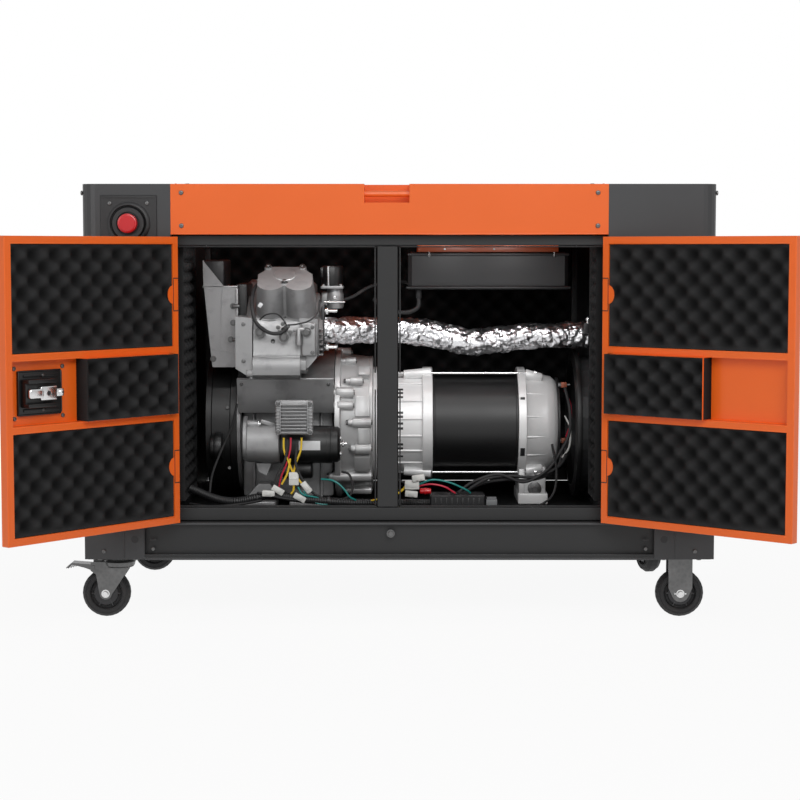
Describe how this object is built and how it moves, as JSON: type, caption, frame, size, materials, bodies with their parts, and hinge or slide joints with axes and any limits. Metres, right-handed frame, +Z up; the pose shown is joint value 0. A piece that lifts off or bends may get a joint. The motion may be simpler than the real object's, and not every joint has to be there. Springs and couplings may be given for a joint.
{
  "type": "engine driven welder",
  "caption": "Engine driven welder: engine and alternator in a foam-lined canopy on casters, with front doors, a door latch, an emergency stop and a weld outlet panel.",
  "frame": {"origin": "on the floor, under the middle of the box round the machine with its doors open as modelled", "axes": "+X along the canopy, from the emergency stop end to the muffler end; the doors face -Y; +Z up"},
  "size_m": [1.5062, 1.1024, 0.9178],
  "materials": {
    "orange_paint": "satin powder coat",
    "charcoal_paint": "satin powder coat",
    "acoustic_foam": "open-cell egg-crate foam",
    "cast_alloy": "as cast, blasted",
    "black_enamel": "gloss enamel",
    "zinc_steel": "bright zinc plate",
    "foil": "crumpled heat-shield foil",
    "black_plastic": "moulded",
    "wheel_rubber": "solid tyre",
    "red_plastic": "moulded"
  },
  "bodies": {
    "canopy": {"base_frame": "charcoal_paint", "sill": "charcoal_paint", "upper_rail": "charcoal_paint", "centre_post": "charcoal_paint", "left_cowl": "charcoal_paint", "right_cowl": "charcoal_paint", "rear_panel": "charcoal_paint", "roof_cover": "orange_paint", "left_wall_foam": "acoustic_foam", "right_wall_foam": "acoustic_foam", "rear_wall_foam": "acoustic_foam", "crankcase": "cast_alloy", "crankcase_cover": "cast_alloy", "front_cylinder": "cast_alloy", "front_valve_cover": "cast_alloy", "rear_cylinder": "cast_alloy", "blower_housing": "cast_alloy", "alternator_bracket": "cast_alloy", "alternator_end_bell": "cast_alloy", "voltage_regulator": "cast_alloy", "carburettor": "cast_alloy", "fan_duct": "black_enamel", "alternator_stator": "black_enamel", "starter_motor": "black_enamel", "muffler": "zinc_steel", "exhaust_pipe": "foil", "fuel_tank": "black_plastic", "battery": "black_plastic", "control_module": "black_plastic", "engine_harness": "black_plastic", "stop_housing": "black_plastic", "control_panel": "black_plastic", "caster_front_left_plate": "zinc_steel", "caster_front_right_fork": "zinc_steel", "caster_rear_right_plate": "zinc_steel", "caster_rear_left_fork": "zinc_steel"},
    "left_door": {"left_door": "orange_paint", "left_door_foam_bottom": "acoustic_foam", "left_door_foam_block": "acoustic_foam", "left_door_foam_top": "acoustic_foam", "latch_case": "black_plastic"},
    "right_door": {"right_door": "orange_paint", "right_door_foam_bottom": "acoustic_foam", "right_door_foam_block": "acoustic_foam", "right_door_foam_top": "acoustic_foam"},
    "latch_handle": {"latch_handle": "black_plastic"},
    "latch_bolt": {"latch_bolt": "zinc_steel"},
    "stop_button": {"stop_button": "red_plastic"},
    "weld_current_knob": {"weld_current_knob": "black_plastic"},
    "key_switch": {"key_switch": "zinc_steel"},
    "fuel_cap": {"fuel_cap": "black_plastic"},
    "crankshaft": {"flywheel_fan": "cast_alloy", "alternator_rotor": "zinc_steel"},
    "caster_front_left_swivel": {"caster_front_left_fork": "zinc_steel"},
    "caster_front_left_wheel": {"caster_front_left_wheel": "wheel_rubber"},
    "caster_front_left_pedal": {"caster_front_left_pedal": "zinc_steel"},
    "caster_front_right_wheel": {"caster_front_right_wheel": "wheel_rubber"},
    "caster_rear_right_swivel": {"caster_rear_right_fork": "zinc_steel"},
    "caster_rear_right_wheel": {"caster_rear_right_wheel": "wheel_rubber"},
    "caster_rear_left_wheel": {"caster_rear_left_wheel": "wheel_rubber"}
  },
  "joints": [
    {"name": "left_door_hinge", "type": "hinge", "parent": "canopy", "child": "left_door", "pos_m": [-0.47173, -0.1943, 0.5], "axis": [0, 0, 1], "range_deg": [-30, 130]},
    {"name": "right_door_hinge", "type": "hinge", "parent": "canopy", "child": "right_door", "pos_m": [0.42128, -0.1943, 0.5], "axis": [0, 0, -1], "range_deg": [-21, 139]},
    {"name": "latch_handle_turn", "type": "hinge", "parent": "left_door", "child": "latch_handle", "pos_m": [-0.6924, -0.46538, 0.49815], "axis": [-0.766, 0.6428, 0], "range_deg": [0, 90]},
    {"name": "latch_bolt_slide", "type": "slide", "parent": "left_door", "child": "latch_bolt", "axis": [-0.6428, -0.766, 0], "range_m": [0, 0.036]},
    {"name": "stop_button_press", "type": "slide", "parent": "canopy", "child": "stop_button", "axis": [0, 1, 0], "range_m": [0, 0.006]},
    {"name": "weld_current_knob_turn", "type": "hinge", "parent": "canopy", "child": "weld_current_knob", "pos_m": [-0.665, -0.0388, 0.76], "axis": [-1, 0, 0], "range_deg": [-135, 135]},
    {"name": "key_switch_turn", "type": "hinge", "parent": "canopy", "child": "key_switch", "pos_m": [-0.665, 0.1212, 0.76], "axis": [-1, 0, 0], "range_deg": [0, 90]},
    {"name": "fuel_cap_turn", "type": "hinge", "parent": "canopy", "child": "fuel_cap", "pos_m": [0.24477, 0.3712, 0.91], "axis": [0, 0, 1], "range_deg": [0, 90]},
    {"name": "crankshaft_spin", "type": "hinge", "parent": "canopy", "child": "crankshaft", "pos_m": [0, 0.1712, 0.383], "axis": [1, 0, 0], "continuous": true},
    {"name": "caster_front_left_swivel_turn", "type": "hinge", "parent": "canopy", "child": "caster_front_left_swivel", "pos_m": [-0.59423, -0.1138, 0.12], "axis": [0, 0, 1], "continuous": true},
    {"name": "caster_front_left_wheel_spin", "type": "hinge", "parent": "caster_front_left_swivel", "child": "caster_front_left_wheel", "pos_m": [-0.62123, -0.1138, 0.05], "axis": [0, 1, 0], "continuous": true},
    {"name": "caster_front_left_pedal_press", "type": "hinge", "parent": "caster_front_left_swivel", "child": "caster_front_left_pedal", "pos_m": [-0.64623, -0.1138, 0.1064], "axis": [0, -1, 0], "range_deg": [0, 12]},
    {"name": "caster_front_right_wheel_spin", "type": "hinge", "parent": "canopy", "child": "caster_front_right_wheel", "pos_m": [0.58378, -0.1138, 0.05], "axis": [0, 1, 0], "continuous": true},
    {"name": "caster_rear_right_swivel_turn", "type": "hinge", "parent": "canopy", "child": "caster_rear_right_swivel", "pos_m": [0.58378, 0.4762, 0.12], "axis": [0, 0, 1], "continuous": true},
    {"name": "caster_rear_right_wheel_spin", "type": "hinge", "parent": "caster_rear_right_swivel", "child": "caster_rear_right_wheel", "pos_m": [0.59076, 0.45012, 0.05], "axis": [-0.9659, -0.2588, 0], "continuous": true},
    {"name": "caster_rear_left_wheel_spin", "type": "hinge", "parent": "canopy", "child": "caster_rear_left_wheel", "pos_m": [-0.59423, 0.4762, 0.05], "axis": [0, 1, 0], "continuous": true}
  ],
  "couplings": [
    {"joint": "latch_bolt_slide", "follows": "latch_handle_turn", "m_per_rad": 0.0229}
  ]
}
